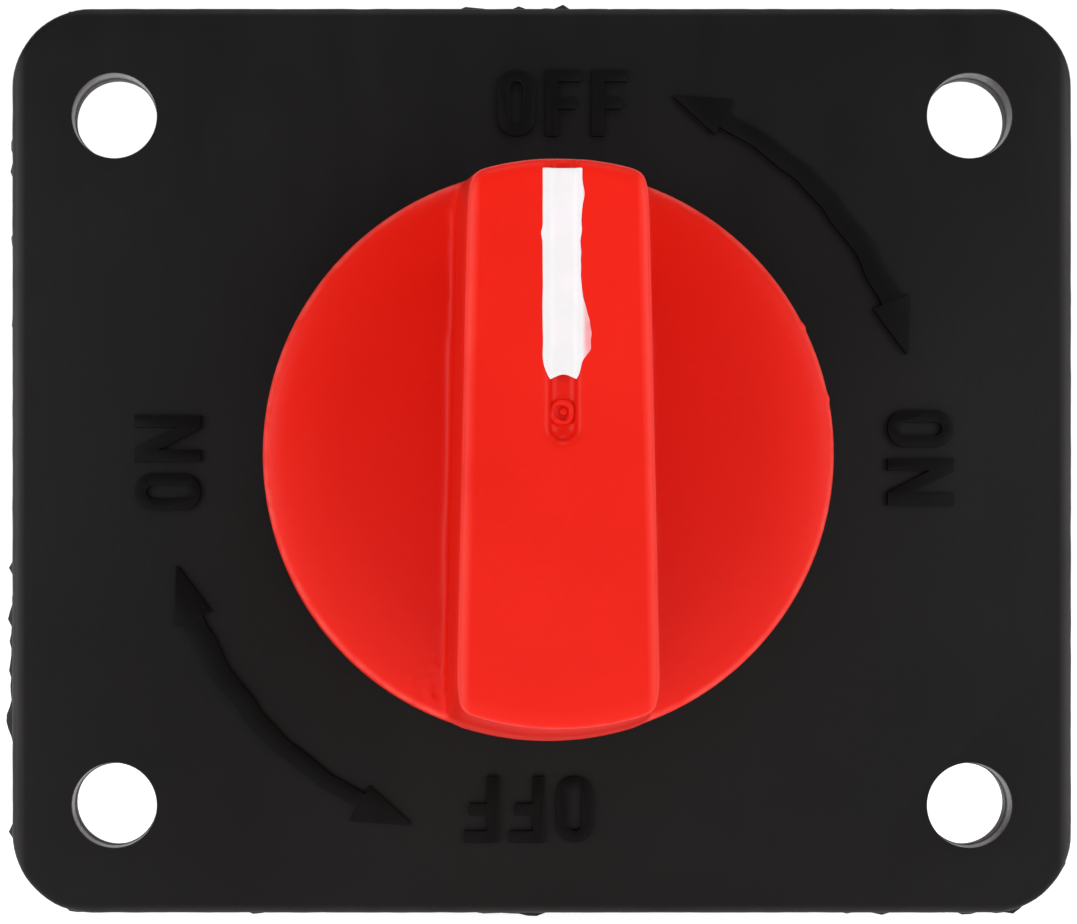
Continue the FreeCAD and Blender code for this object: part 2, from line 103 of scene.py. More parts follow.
def settle(piece, name=None):
    # the piece's place goes into its mesh
    onlyActive(piece)
    bpy.ops.object.transform_apply(location=True, rotation=True, scale=True)
    if name:
        piece.name = name
        piece.data.name = name
    return piece


def modify(piece, kind, **settings):
    onlyActive(piece)
    bpy.ops.object.modifier_add(type=kind)
    modifier = piece.modifiers[-1]
    for key, value in settings.items():
        setattr(modifier, key, value)
    bpy.ops.object.modifier_apply(modifier=modifier.name)
    return piece


def combine(piece, tools, how):
    # how is UNION, DIFFERENCE or INTERSECT; the tools are used up
    for tool in tools:
        modify(piece, "BOOLEAN", operation=how, object=tool, solver="EXACT")
        bpy.data.objects.remove(tool)
    return piece


def joinAll(pieces, name):
    onlyActive(pieces[0])
    for piece in pieces:
        piece.select_set(True)
    bpy.ops.object.join()
    return settle(pieces[0], name)


def copied(piece, name=None):
    twin = piece.copy()
    twin.data = piece.data.copy()
    bpy.context.collection.objects.link(twin)
    if name:
        twin.name = name
    return twin


def box(low, high, name="box"):
    size = [h - l for l, h in zip(low, high)]
    middle = [(h + l) / 2 * mm for l, h in zip(low, high)]
    bpy.ops.mesh.primitive_cube_add(size=mm, location=middle, scale=size)
    return settle(bpy.context.object, name)


def tidyMesh(piece, gap=0.002):
    toEdit(piece)
    bpy.ops.mesh.select_all(action="SELECT")
    bpy.ops.mesh.remove_doubles(threshold=gap * mm)
    bpy.ops.mesh.normals_make_consistent(inside=False)
    toObject()
    return piece


def lathed(profile, name="lathed", centre=(0, 0), steps=96, closed=False):
    # profile is (radius, depth) pairs, turned about a line along Y through centre (x, z).
    # Open profiles are capped at both ends; a closed one makes a ring.
    x, z = centre
    firstR, firstY = profile[0]
    place = (x * mm, firstY * mm, z * mm)
    fill = "NOTHING" if closed else "NGON"
    bpy.ops.mesh.primitive_circle_add(vertices=steps, radius=firstR * mm, fill_type=fill,
                                      location=place, rotation=(math.pi / 2, 0, 0))
    piece = settle(bpy.context.object, name)
    toEdit(piece, "EDGE" if closed else "FACE")
    bpy.ops.mesh.select_all(action="SELECT")
    lastR, lastY = firstR, firstY
    for radius, depth in profile[1:] + (profile[:1] if closed else []):
        move = {"value": (0, (depth - lastY) * mm, 0)}
        if closed:
            bpy.ops.mesh.extrude_edges_move(TRANSFORM_OT_translate=move)
        else:
            bpy.ops.mesh.extrude_region_move(TRANSFORM_OT_translate=move)
        grow = radius / lastR
        bpy.ops.transform.resize(value=(grow, 1, grow), center_override=(x * mm, depth * mm, z * mm))
        lastR, lastY = radius, depth
    toObject()
    return tidyMesh(piece)


def arc(middleR, middleY, radius, start, end, steps=6):
    # (radius, depth) points of a round corner in a lathe profile, angles in degrees
    turns = [math.radians(start + (end - start) * i / steps) for i in range(steps + 1)]
    return [(middleR + radius * math.cos(t), middleY + radius * math.sin(t)) for t in turns]


def bevelled(piece, width, segments=3, angle=30):
    return modify(piece, "BEVEL", width=width * mm, segments=segments, limit_method="ANGLE",
                  angle_limit=math.radians(angle), harden_normals=False)


def turnedAbout(piece, degrees, centre=(0, 0)):
    # clockwise seen from the front, about a line along Y
    onlyActive(piece)
    middle = Matrix.Translation((centre[0] * mm, 0, centre[1] * mm))
    piece.data.transform(middle @ Matrix.Rotation(math.radians(degrees), 4, "Y") @ middle.inverted())
    return piece


def smoothed(piece, angle=35):
    onlyActive(piece)
    bpy.ops.object.shade_smooth_by_angle(angle=math.radians(angle))
    return piece


def finished(piece, name, body, material, replaces=(), angle=35):
    settle(piece, name)
    smoothed(piece, angle)
    piece.data.materials.clear()
    piece.data.materials.append(material)
    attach(piece, body)
    if replaces:
        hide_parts(*replaces)
    return piece


# ---------- shader helpers

class Wire:
    # one socket of a shader node; arithmetic on it adds Math nodes
    def __init__(self, maker, socket):
        self.maker = maker
        self.socket = socket

    def maths(self, operation, *others):
        return self.maker.node("ShaderNodeMath", {"operation": operation}, [self, *others])

    def __add__(self, other):
        return self.maths("ADD", other)

    def __radd__(self, other):
        return self.maths("ADD", other)

    def __sub__(self, other):
        return self.maths("SUBTRACT", other)

    def __rsub__(self, other):
        return self.maker.node("ShaderNodeMath", {"operation": "SUBTRACT"}, [other, self])

    def __mul__(self, other):
        return self.maths("MULTIPLY", other)

    def __rmul__(self, other):
        return self.maths("MULTIPLY", other)

    def __truediv__(self, other):
        return self.maths("DIVIDE", other)

    def __pow__(self, other):
        return self.maths("POWER", other)

    def clamped(self):
        return self.maker.node("ShaderNodeClamp", {}, [self, 0.0, 1.0])


class Finish:
    # one material; surface values that never change are given to the shader itself
    def __init__(self, name, **fixed):
        self.material = bpy.data.materials.new(name)
        self.material.use_nodes = True
        self.tree = self.material.node_tree
        self.shader = self.tree.nodes["Principled BSDF"]
        for socket, value in fixed.items():
            self.shader.inputs[socket.replace("_", " ")].default_value = value
        self.place = self.node("ShaderNodeTexCoord", {}, [], "Object")

    def node(self, kind, settings, inputs, output=0):
        made = self.tree.nodes.new(kind)
        for key, value in settings.items():
            if key == "stops":
                self.fillRamp(made.color_ramp, value)
            else:
                setattr(made, key, value)
        named = inputs.items() if isinstance(inputs, dict) else enumerate(inputs)
        for key, value in named:
            if isinstance(value, Wire):
                self.tree.links.new(value.socket, made.inputs[key])
            elif value is not None:
                made.inputs[key].default_value = value
        return Wire(self, made.outputs[output])

    def fillRamp(self, ramp, stops):
        while len(ramp.elements) < len(stops):
            ramp.elements.new(0.5)
        for element, (at, colour) in zip(ramp.elements, stops):
            element.position = at
            element.color = colour

    def noise(self, scale, detail=3.0, rough=0.55, stretch=None, distortion=0.0):
        # a value about 0.5; scale is in features per millimetre
        where = self.place
        if stretch:
            where = self.node("ShaderNodeMapping", {}, {"Vector": self.place, "Scale": stretch})
        values = {"Vector": where, "Scale": scale / mm, "Detail": detail, "Roughness": rough,
                  "Distortion": distortion}
        return self.node("ShaderNodeTexNoise", {}, values)

    def cells(self, scale, feature="F1", output="Distance"):
        return self.node("ShaderNodeTexVoronoi", {"feature": feature},
                         {"Vector": self.place, "Scale": scale / mm}, output)

    def ramp(self, value, low, high):
        # value moved from low..high to 0..1
        return self.node("ShaderNodeMapRange", {"clamp": True}, [value, low, high, 0.0, 1.0])

    def mix(self, factor, first, second, how="MIX"):
        return self.node("ShaderNodeMix", {"data_type": "RGBA", "blend_type": how},
                         {0: factor, 6: first, 7: second}, 2)

    def axes(self):
        # the place's x, y and z in millimetres
        split = self.node("ShaderNodeSeparateXYZ", {}, [self.place])
        node = split.socket.node
        return [Wire(self, node.outputs[i]) * (1 / mm) for i in range(3)]

    def bump(self, height, depth, under=None):
        # depth in millimetres
        return self.node("ShaderNodeBump", {}, {"Height": height, "Strength": 1.0, "Distance": depth * mm,
                                               "Normal": under})

    def feed(self, **wires):
        for socket, wire in wires.items():
            self.tree.links.new(wire.socket, self.shader.inputs[socket.replace("_", " ")])
        return self.material


def rgb(r, g, b):
    return (r, g, b, 1.0)


# ---------- finishes

def blackNylon(name, base, sheen, grain=1.0, gloss=0.2, holes=()):
    # moulded plate and housing: spark-textured satin black with faint flow marks and dust.
    # holes is (half pitch across, half pitch up, radius, depth): the front of each hole wall gets painted light in
    # pale grey, and the plate's outer edges get a painted highlight
    f = Finish(name, Specular_IOR_Level=gloss)
    cloud = f.noise(0.05, 4.0, 0.6)
    flow = f.noise(0.35, 3.0, 0.5, (1.0, 1.0, 0.25))
    fine = f.noise(3.0, 2.0, 0.6)
    dust = f.ramp(f.noise(1.3, 5.0, 0.75), 0.66, 0.80)
    tone = f.mix(f.ramp(cloud, 0.3, 0.7), rgb(base * 0.85, base * 0.76, base * 0.78),
                 rgb(base * 1.35, base * 1.2, base * 1.22))
    tone = f.mix(dust * 0.35, tone, rgb(base * 4, base * 3.9, base * 3.8))
    rough = f.ramp(fine, 0.2, 0.8) * 0.14 + f.ramp(flow, 0.3, 0.7) * 0.10 + sheen
    if holes:
        acrossPitch, upPitch, radius, depth = holes
        x, y, z = f.axes()
        offX = x.maths("ABSOLUTE") - acrossPitch
        offZ = z.maths("ABSOLUTE") - upPitch
        inHole = f.ramp((offX * offX + offZ * offZ) ** 0.5, radius + 0.35, radius + 0.15)
        # painted light: the front half of each hole wall is pale grey, standing in for light that falls through the
        # holes
        pale = inHole * f.ramp(y, depth + 0.12, depth) * f.ramp(y, -3.99, -3.9) * f.ramp(flow, 0.2, 0.6)
        tone = f.mix(pale, tone, rgb(0.20, 0.20, 0.205))
        # painted highlight: a lighter grey band along the plate's outer edges, strongest on the left and right
        rim = f.ramp(x.maths("ABSOLUTE"), 38.95, 39.65) * 0.9 + f.ramp(z.maths("ABSOLUTE"), 33.5, 33.9) * 0.35
        tone = f.mix(rim * f.ramp(flow, 0.0, 0.6), tone, rgb(0.050, 0.047, 0.048))
        rough = rough - pale * 0.2
    soft = f.bump(flow, 0.03 * grain)
    normal = f.bump(fine, 0.012 * grain, soft)
    return f.feed(Base_Color=tone, Roughness=rough, Normal=normal)


def redNylon():
    # semi-gloss red moulding: faint sink, fine orange peel, tiny scuffs, with painted shade on the deep floors and
    # painted highlights towards the rim and along the grip's edges
    f = Finish("red_moulding", Specular_IOR_Level=0.14)
    cloud = f.noise(0.08, 3.0, 0.5)
    peel = f.noise(0.9, 2.0, 0.5)
    fine = f.noise(4.0, 2.0, 0.6)
    scratch = f.ramp(f.noise(0.8, 6.0, 0.8, (6.0, 1.0, 0.5)), 0.68, 0.78)
    x, y, z = f.axes()
    tone = f.mix(f.ramp(cloud, 0.3, 0.7), rgb(0.72, 0.0108, 0.0040), rgb(0.78, 0.0138, 0.0058))
    # painted shade: surfaces set further back than the grip's top, the floors and the lower grip walls, are a
    # darker, deeper red
    tone = f.mix(f.ramp(y, -29.0, -25.0), tone, rgb(0.69, 0.0080, 0.0018))
    radius = (x * x + z * z) ** 0.5
    # painted light: the floors are made lighter towards the rim
    tone = f.mix(f.ramp(radius, 14.5, 20.0) * 0.8, tone, rgb(0.79, 0.0125, 0.0045))
    # painted highlight: a pale pink line on the rounded front edge of the rim
    rimPaintedHighlight = f.ramp(radius, 19.95, 20.3) * f.ramp(y, -14.6, -15.4) * f.ramp(peel, 0.2, 0.6)
    tone = f.mix(rimPaintedHighlight * 0.85, tone, rgb(0.85, 0.072, 0.055))
    # painted highlight: pale bands along both edges of the grip's top face, standing in for light caught by the
    # rounded edges; the mask named worn here marks no wear
    inward = z * -0.0217 + 6.41 - x.maths("ABSOLUTE")
    worn = f.ramp(inward, 0.85, 0.45) * f.ramp(y, -30.3, -30.9) * f.ramp(cloud, 0.1, 0.5)
    tone = f.mix(worn * 0.8, tone, rgb(0.86, 0.042, 0.028))
    tone = f.mix(scratch * 0.25, tone, rgb(0.86, 0.07, 0.05))
    rough = f.ramp(fine, 0.2, 0.8) * 0.10 + f.ramp(cloud, 0.3, 0.7) * 0.06 + scratch * 0.12 + 0.27
    soft = f.bump(peel, 0.012)
    normal = f.bump(fine, 0.003, soft)
    return f.feed(Base_Color=tone, Roughness=rough, Normal=normal)


def whiteEnamel():
    f = Finish("white_enamel", Specular_IOR_Level=0.45)
    x, y, z = f.axes()
    thin = f.ramp(x, 1.55, 1.85) * f.ramp(f.noise(1.5, 4.0, 0.6), 0.25, 0.45)
    cloud = f.ramp(f.noise(0.5, 3.0), 0.3, 0.7)
    tone = f.mix(cloud, rgb(0.82, 0.77, 0.80), rgb(0.77, 0.76, 0.76))
    tone = f.mix(thin * 0.85, tone, rgb(0.84, 0.26, 0.28))
    rough = cloud * 0.12 + 0.3
    return f.feed(Base_Color=tone, Roughness=rough, Normal=f.bump(f.noise(1.2, 3.0), 0.03))


def metal(name, light, dark, rough, lines=None, stain=None):
    # lines is the stretch of a turning or drawing mark, stain a colour in patches
    f = Finish(name, Metallic=1.0)
    cloud = f.ramp(f.noise(0.25, 4.0, 0.6), 0.3, 0.7)
    fine = f.noise(6.0, 3.0, 0.6, lines)
    tone = f.mix(cloud, rgb(*dark), rgb(*light))
    if stain:
        tone = f.mix(f.ramp(f.noise(0.6, 5.0, 0.7), 0.58, 0.75) * 0.5, tone, rgb(*stain))
    value = cloud * 0.08 + f.ramp(fine, 0.25, 0.75) * 0.12 + rough
    return f.feed(Base_Color=tone, Roughness=value, Normal=f.bump(fine, 0.008))


def plain(name, light, dark, rough, spec=0.45, grain=0.01):
    # rubber, acetal and phenolic mouldings
    f = Finish(name, Specular_IOR_Level=spec)
    cloud = f.ramp(f.noise(0.2, 4.0, 0.6), 0.3, 0.7)
    fine = f.noise(3.5, 3.0, 0.6)
    tone = f.mix(cloud, rgb(*dark), rgb(*light))
    value = f.ramp(fine, 0.2, 0.8) * 0.14 + rough
    return f.feed(Base_Color=tone, Roughness=value, Normal=f.bump(fine, grain))


finishes = {
    "black_plate": blackNylon("plate_moulding", 0.0044, 0.38, 1.0, 0.16, (32.25, 26.0, 3.25, -2.05)),
    "black_housing": blackNylon("housing_moulding", 0.010, 0.38, 1.6, 0.3),
    # painted shade: the raised letters use the plate's black nylon with a darker base colour
    "legend_black": blackNylon("legend_moulding_painted_shade", 0.0023, 0.36, 0.5, 0.09),
    "black_rubber": plain("nitrile_rubber", (0.02, 0.02, 0.02), (0.011, 0.011, 0.012), 0.6, 0.3),
    "red_nylon": redNylon(),
    "white_paint": whiteEnamel(),
    "zinc_steel": metal("zinc_plate", (0.66, 0.67, 0.69), (0.50, 0.52, 0.55), 0.20, stain=(0.58, 0.55, 0.42)),
    "plated_steel": metal("turned_steel", (0.62, 0.62, 0.63), (0.48, 0.48, 0.5), 0.22, (1.0, 9.0, 1.0)),
    "hard_steel": metal("ground_steel", (0.42, 0.42, 0.44), (0.30, 0.30, 0.32), 0.16, (1.0, 1.0, 8.0)),
    "spring_steel": metal("spring_wire", (0.55, 0.55, 0.57), (0.40, 0.40, 0.42), 0.24),
    "brass": metal("turned_brass", (0.80, 0.57, 0.25), (0.62, 0.42, 0.17), 0.22, (1.0, 9.0, 1.0)),
    "natural_acetal": plain("natural_acetal", (0.82, 0.80, 0.73), (0.74, 0.71, 0.64), 0.30, 0.45, 0.006),
    "brown_phenolic": plain("brown_phenolic", (0.16, 0.065, 0.03), (0.09, 0.036, 0.018), 0.34, 0.5),
    "copper": metal("rolled_copper", (0.86, 0.42, 0.27), (0.66, 0.28, 0.17), 0.24, (0.6, 1.0, 8.0),
                    (0.36, 0.16, 0.10)),
    "silver_contact": metal("silver_alloy", (0.88, 0.87, 0.84), (0.74, 0.72, 0.68), 0.2),
    "tinned_copper": metal("tin_plate", (0.76, 0.74, 0.70), (0.60, 0.58, 0.54), 0.27, (1.0, 6.0, 1.0)),
}
slotOf = {part["node"]: part["material_slot"] for part in frame["record"]["subparts"]}
for nodeName, cadPiece in frame["nodes"].items():
    cadPiece.data.materials.clear()
    cadPiece.data.materials.append(finishes[slotOf[nodeName]])
print("stage: finishes made")


# ---------- plate

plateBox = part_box("face_plate")
plateWidth = (plateBox[1].x - plateBox[0].x) / mm
plateHeight = (plateBox[1].z - plateBox[0].z) / mm
mountOf = {m["name"]: m for m in frame["record"]["mounts"]}
boltDims = mountOf["panel_bolts"]["dims"]
plateLook = {
    "front": -4.0,
    "corner": 6.0,
    "edgeRound": 0.6,
    "outlineCuts": 110,
    "flash": 0.30,
    "wobble": 0.03,
    # lumps left on the parting line: x, z, half-length, reach
    "lumps": [(-40.0, -19.9, 1.2, 0.55), (-40.0, -13.8, 4.2, 0.30), (40.0, 22.0, 2.2, 0.26),
              (-0.4, 34.2, 2.6, 0.26), (28.3, 34.2, 2.8, 0.22), (-0.4, -34.2, 2.6, 0.24),
              (36.0, -33.5, 0.8, 0.42), (-40.0, 9.0, 5.0, 0.10), (40.0, -8.0, 6.0, 0.09)],
}


def outlineNormal(point):
    # outward direction of the rounded rectangle at a point of its outline
    reachX = plateWidth / 2 - plateLook["corner"]
    reachZ = plateHeight / 2 - plateLook["corner"]
    inner = Vector((max(-reachX, min(reachX, point.x)), point.y, max(-reachZ, min(reachZ, point.z))))
    return (point - inner).normalized()


def flashAt(point):
    grain = noise.noise(Vector((point.x * 0.8, point.z * 0.8, 3.1)))
    coarse = noise.noise(Vector((point.x * 0.2, point.z * 0.2, 8.7)))
    reach = plateLook["flash"] * max(0.0, 0.15 + 1.6 * grain + 1.1 * coarse)
    for x, z, half, lump in plateLook["lumps"]:
        near = ((point.x - x) ** 2 + (point.z - z) ** 2) / half ** 2
        reach += lump * math.exp(-near) * (0.7 + 0.9 * abs(grain))
    return reach


def pushOutline(piece, depth, amount):
    # moves one ring of the side wall outwards; amount is a number or a function of the place
    for vertex in piece.data.vertices:
        point = vertex.co / mm
        if abs(point.y - depth) < 0.004:
            push = amount(point) if callable(amount) else amount
            vertex.co += outlineNormal(point) * push * mm


def makePlate():
    look = plateLook
    bpy.ops.mesh.primitive_plane_add(size=mm, location=(0, look["front"] * mm, 0), rotation=(math.pi / 2, 0, 0))
    plate = bpy.context.object
    plate.scale = (plateWidth, plateHeight, 1)
    settle(plate)
    toEdit(plate, "VERT")
    bpy.ops.mesh.select_all(action="SELECT")
    bpy.ops.mesh.bevel(offset=look["corner"] * mm, segments=16, affect="VERTICES")
    toObject()
    pickEdges(plate, lambda a, b: (a - b).length > 5)
    bpy.ops.mesh.subdivide(number_cuts=look["outlineCuts"])
    toObject()
    edge = look["edgeRound"]
    pushOutline(plate, look["front"], lambda p: look["wobble"] * noise.noise(p * 0.7) - edge)
    quarter = [math.pi / 8 * i for i in range(1, 5)]
    rings = [(look["front"] + edge * (1 - math.cos(t)), edge * math.sin(t)) for t in quarter]
    rings = [(y, push - (rings[i - 1][1] if i else 0)) for i, (y, push) in enumerate(rings)]
    rings += [(-2.15, -0.03), (-2.02, flashAt), (-1.92, 0.0)]
    rings += [(-1.78, lambda p: -flashAt(p) - 0.05), (-0.35, 0.05), (-0.1, -0.08), (0.0, -0.25)]
    at = look["front"]
    for depth, push in rings:
        pickFaces(plate, lambda c, n, at=at: abs(c.y - at) < 0.004)
        bpy.ops.mesh.extrude_region_move(TRANSFORM_OT_translate={"value": (0, (depth - at) * mm, 0)})
        toObject()
        pushOutline(plate, depth, push)
        at = depth
    return tidyMesh(plate)


def holeCutter(x, z, radius):
    # the two mould halves meet in the middle of the hole, with a little draft and a step
    front = plateLook["front"]
    profile = [(radius + 0.4, front - 0.6), (radius + 0.02, front - 0.02), (radius - 0.04, front + 0.06),
               (radius - 0.06, front + 0.2), (radius - 0.10, -2.05), (radius - 0.18, -1.95),
               (radius - 0.18, -1.88), (radius - 0.12, -1.80), (radius - 0.08, -0.15),
               (radius + 0.25, 0.02), (radius + 0.9, 0.6)]
    return lathed(profile, "hole", (x, z), 72)


def boss(radius, y0, y1, x=0.0, z=0.0, bore=0.0):
    profile = [(radius, y0), (radius - 0.02, y1 - 0.3), (radius - 0.3, y1)]
    if not bore:
        return lathed(profile, "boss", (x, z), 48)
    return lathed(profile + [(bore, y1), (bore, y0)], "boss", (x, z), 48, closed=True)


def plateHoles():
    halfX, halfZ = boltDims["spacing_x_mm"] / 2, boltDims["spacing_y_mm"] / 2
    return [(sx * halfX, sz * halfZ) for sx in (-1, 1) for sz in (-1, 1)]


plate = makePlate()
cutters = [holeCutter(x, z, boltDims["hole_r_mm"]) for x, z in plateHoles()]
cutters.append(lathed([(7.9, -4.6), (7.55, -3.95), (7.4, -3.8), (7.4, 1.0)], "bore", (0, 0), 72))
combine(plate, cutters, "DIFFERENCE")
screwPlaces = [(22 * math.sin(t), 22 * math.cos(t)) for t in (math.pi / 4 + math.pi / 2 * i for i in range(4))]
rear = [boss(9.6, -0.3, 7.0, bore=7.42), boss(26.2, -0.3, 5.0, bore=24.6)]
rear += [boss(3.8, -0.3, 10.0, x, z, bore=2.05) for x, z in screwPlaces]
rear += [boss(3.2, -0.3, 8.0, x, 0.0, bore=1.85) for x in (-12.5, 12.5)]
rear.append(boss(7.43, bore=7.0, y0=-1.4, y1=6.9))
plate = joinAll([plate] + rear, "moulded_plate")
finished(plate, "moulded_plate", "housing", finishes["black_plate"], ["face_plate"], 30)
print("stage: plate made", len(plate.data.polygons))


# ---------- raised lettering and arrows

legendLook = {
    "raise": 0.45, "sink": 0.05, "edge": 0.11, "height": 5.0, "stroke": 0.90, "gap": 0.85,
    "wideO": 2.8, "wideF": 2.6, "wideN": 3.5,
    "arrowInner": 26.35, "arrowOuter": 28.0, "arrowCentre": (1.1, 1.75), "taper": 0.45, "wander": 0.22,
    "headHalf": 1.5, "start": 18.4, "end": 77.2, "head": 9.2,
}
legendBack = plateLook["front"] + legendLook["sink"]
legendFront = plateLook["front"] - legendLook["raise"]


def stroke(x0, x1, z0, z1):
    return box((x0, legendFront, z0), (x1, legendBack, z1), "stroke")


def ovalShape(halfWide, halfHigh, front, back):
    # a round is pulled apart at its waist
    round_ = lathed([(halfWide, front), (halfWide, back)], "oval", (0, 0), 40)
    for vertex in round_.data.vertices:
        vertex.co.z += math.copysign((halfHigh - halfWide) * mm, vertex.co.z + 1e-7)
    return round_


def letterO():
    wide, high, line = legendLook["wideO"] / 2, legendLook["height"] / 2, legendLook["stroke"]
    outer = ovalShape(wide, high, legendFront, legendBack)
    inner = ovalShape(wide - line, high - line, legendFront - 1, legendBack + 1)
    return combine(outer, [inner], "DIFFERENCE")


def letterF():
    wide, high, line = legendLook["wideF"] / 2, legendLook["height"] / 2, legendLook["stroke"]
    stem = stroke(-wide, -wide + line, -high, high)
    arms = [stroke(-wide + line / 2, wide, high - line, high),
            stroke(-wide + line / 2, wide - 0.4, -line / 2, line / 2)]
    return combine(stem, arms, "UNION")


def letterN():
    wide, high, line = legendLook["wideN"] / 2, legendLook["height"] / 2, legendLook["stroke"]
    slant = stroke(-wide, -wide + line * 1.1, -high, high)
    for vertex in slant.data.vertices:
        if vertex.co.z < 0:
            vertex.co.x += (2 * wide - line * 1.1) * mm
    stems = [stroke(-wide, -wide + line, -high, high), stroke(wide - line, wide, -high, high)]
    return combine(slant, stems, "UNION")


def word(letters, x, z, degrees):
    gap = legendLook["gap"]
    at = -(sum(w for _, w in letters) + gap * (len(letters) - 1)) / 2
    placed = []
    for shape, wide in letters:
        twin = copied(shape)
        twin.data.transform(Matrix.Translation(((at + wide / 2) * mm, 0, 0)))
        turnedAbout(twin, degrees)
        twin.data.transform(Matrix.Translation((x * mm, 0, z * mm)))
        placed.append(twin)
        at += wide + gap
    return placed


def makeArrow():
    # the band is spun round the knob's axis, and each end is widened and drawn to a point
    look = legendLook
    band = box((-0.01, legendFront, look["arrowInner"]), (0.0, legendBack, look["arrowOuter"]), "arrow")
    sweep = look["end"] - look["start"] - 2 * look["head"]
    turnedAbout(band, look["start"] + look["head"])
    direction = Matrix.Rotation(math.radians(look["start"] + look["head"]), 3, "Y") @ Vector((1, 0, 0))
    pickFaces(band, lambda c, n: n.dot(direction) > 0.9)
    bpy.ops.mesh.spin(steps=26, angle=-math.radians(sweep), center=(0, 0, 0), axis=(0, 1, 0))
    toObject()
    first = look["start"] + look["head"]
    last = look["end"] - look["head"]
    middle = (look["arrowInner"] + look["arrowOuter"]) / 2
    for vertex in band.data.vertices:
        # worn towards the start, with an uneven edge
        point = vertex.co / mm
        along = (math.degrees(math.atan2(point.x, point.z)) - first) / sweep
        away = Vector((point.x, 0, point.z)).normalized()
        worn = look["taper"] * (1 - along) if away.dot(point) > middle else 0
        vertex.co += away * (look["wander"] * noise.noise(away * 14) - worn) * mm
    heads = []
    for base, tip in ((first, look["start"]), (last, look["end"])):
        head = stroke(-0.01, 0.01, middle - look["headHalf"], middle + look["headHalf"])
        turnedAbout(head, base)
        towards = math.copysign(1, tip - base)
        ahead = Matrix.Rotation(math.radians(base), 3, "Y") @ Vector((towards, 0, 0))
        pickFaces(head, lambda c, n, ahead=ahead: n.dot(ahead) > 0.9)
        bpy.ops.mesh.extrude_region_move()
        toObject()
        point = Matrix.Rotation(math.radians(tip), 3, "Y") @ Vector((0, 0, middle))
        for vertex in head.data.vertices:
            if vertex.select:
                vertex.co.x += (point.x * mm - vertex.co.x) * 0.94
                vertex.co.z += (point.z * mm - vertex.co.z) * 0.94
        heads.append(tidyMesh(head))
    arrow = combine(tidyMesh(band), heads, "UNION")
    atX, atZ = look["arrowCentre"]
    arrow.data.transform(Matrix.Translation((atX * mm, 0, atZ * mm)))
    return arrow


def makeLegends():
    o, f, n = letterO(), letterF(), letterN()
    wideO, wideF, wideN = legendLook["wideO"], legendLook["wideF"], legendLook["wideN"]
    off = [(o, wideO), (f, wideF), (f, wideF)]
    on = [(o, wideO), (n, wideN)]
    marks = word(off, 1.5, 26.9, 0) + word(off, -1.0, -26.3, 180)
    marks += word(on, 28.5, 0.2, 90) + word(on, -28.2, -0.2, 270)
    arrow = makeArrow()
    marks += [arrow, turnedAbout(copied(arrow), 180)]
    for model in (o, f, n):
        bpy.data.objects.remove(model)
    legends = joinAll(marks, "raised_legends")
    return bevelled(legends, legendLook["edge"], 2)


legends = makeLegends()
finished(legends, "raised_legends", "housing", finishes["legend_black"])
print("stage: legends made", len(legends.data.polygons))


# ---------- knob

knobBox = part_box("knob")
knobTop = knobBox[0].y / mm
knobBack = knobBox[1].y / mm
knobLook = {
    "rim": -16.4,
    "rimRadius": 20.5,
    "topRadius": 19.0,
    "crown": 0.9,
    "rimRound": 0.9,
    "widePointer": 12.0,
    "wideTail": 13.65,
    "draft": 2.3,
    "cornerSharp": 24.0,
    "edgeRound": 0.42,
    "endRound": 2.2,
    "wall": 2.0,
    "hub": 8.5,
    "grooveWide": 1.8,
    "grooveDeep": 0.7,
    "grooveEnd": 0.2,
    "grooveX": 0.32,
    "voxel": 0.27,
    # marks on the moulding: x, depth, z, size, height
    "nibs": [(20.3, -15.6, 4.0, 0.30, 0.30), (18.4, -15.6, 9.2, 0.28, 0.22), (-7.9, -16.9, 18.6, 0.30, -0.25)],
    "scuff": (-8.3, -17.2, -17.0, 1.9, 0.22),
}
knobBase = knobBox[1].x / mm


def crownAt(radius):
    # the floor either side of the grip falls away towards the rim
    return knobLook["rim"] - 0.5 + knobLook["crown"] * (radius / knobLook["rimRadius"]) ** 4


def makeSkirt():
    look = knobLook
    side = look["rimRadius"]
    fillet = look["rimRound"]
    profile = [(knobBase - 0.3, knobBack), (knobBase, knobBack - 0.3), (side + 0.03, look["rim"] + 1.6)]
    profile += arc(side - fillet, look["rim"] + 1.2, fillet, 0, -80, 6)
    profile += [(r, crownAt(r)) for r in (19.0, 18.0, 16.5, 14.5, 12.0, 9.0, 6.0, 3.0, 0.5)]
    return lathed(profile, "skirt", (0, 0), 180)


def gripRadius(turn, depth, inset):
    # distance from the axis to the grip's outline, in the direction turn from +Z
    look = knobLook
    along = (depth - knobTop) / (look["rim"] - knobTop)
    ends = look["topRadius"] + (look["rimRadius"] - 0.05 - look["topRadius"]) * along
    ends -= inset * look["endRound"]
    grow = (depth - knobTop) * math.tan(math.radians(look["draft"])) - inset
    middle = (look["widePointer"] + look["wideTail"]) / 4 + grow
    slope = (look["widePointer"] - look["wideTail"]) / (4 * look["topRadius"])
    # wall: |x| = middle + slope * z
    side = abs(math.sin(turn)) - slope * math.cos(turn)
    wall = middle / max(side, 0.02)
    sharp = look["cornerSharp"]
    return (ends ** -sharp + wall ** -sharp) ** (-1 / sharp)


